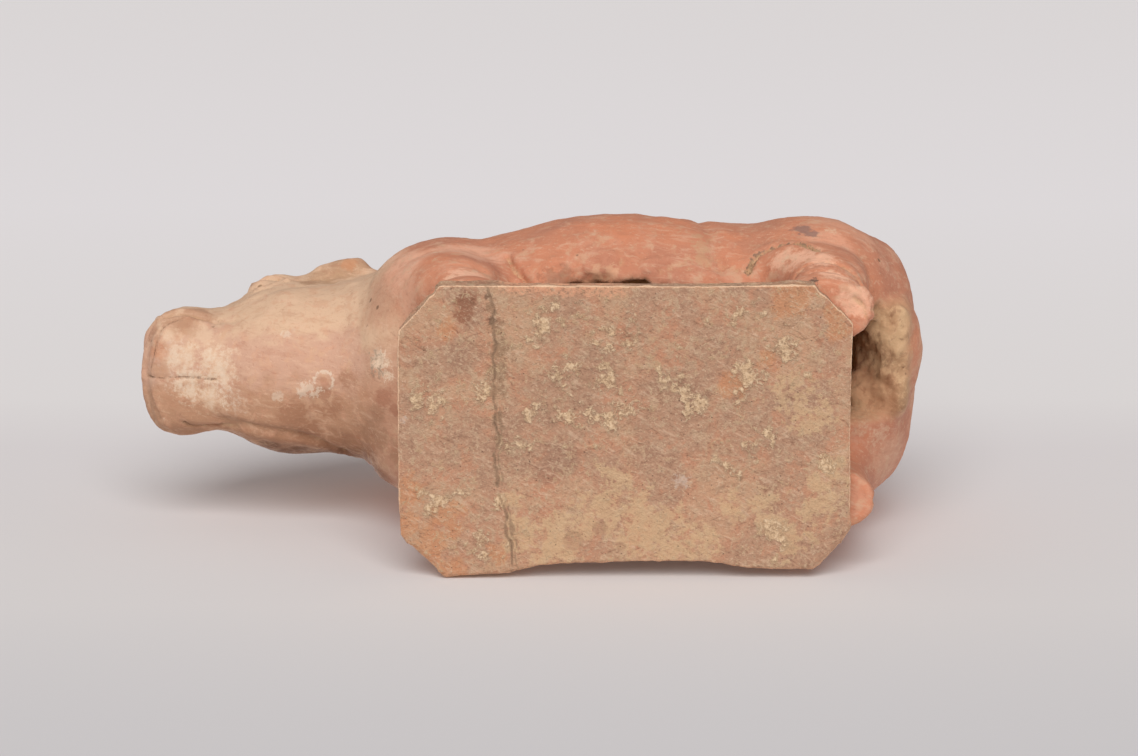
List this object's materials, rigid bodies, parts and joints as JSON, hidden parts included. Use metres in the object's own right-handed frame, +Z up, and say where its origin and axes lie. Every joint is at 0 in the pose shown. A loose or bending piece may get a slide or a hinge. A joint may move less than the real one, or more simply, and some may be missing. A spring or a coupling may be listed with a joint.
{
  "type": "tomb ox figure",
  "caption": "Hollow, open-bellied standing ox in unglazed earthenware, luted by its hooves to a thin slab plinth with cut corners.",
  "frame": {"origin": "centre of the plinth's underside", "axes": "+Z up, -Y towards the ox's head, +X towards the ox's left side"},
  "size_m": [0.0918, 0.2307, 0.1259],
  "materials": {
    "red_earthenware": "unglazed low-fired clay, rubbed matt, with burial soil and lime bloom",
    "soiled_earthenware": "unglazed low-fired clay under a thin crust of burial soil"
  },
  "bodies": {
    "root": {"ox": "red_earthenware", "plinth": "soiled_earthenware"}
  },
  "joints": []
}
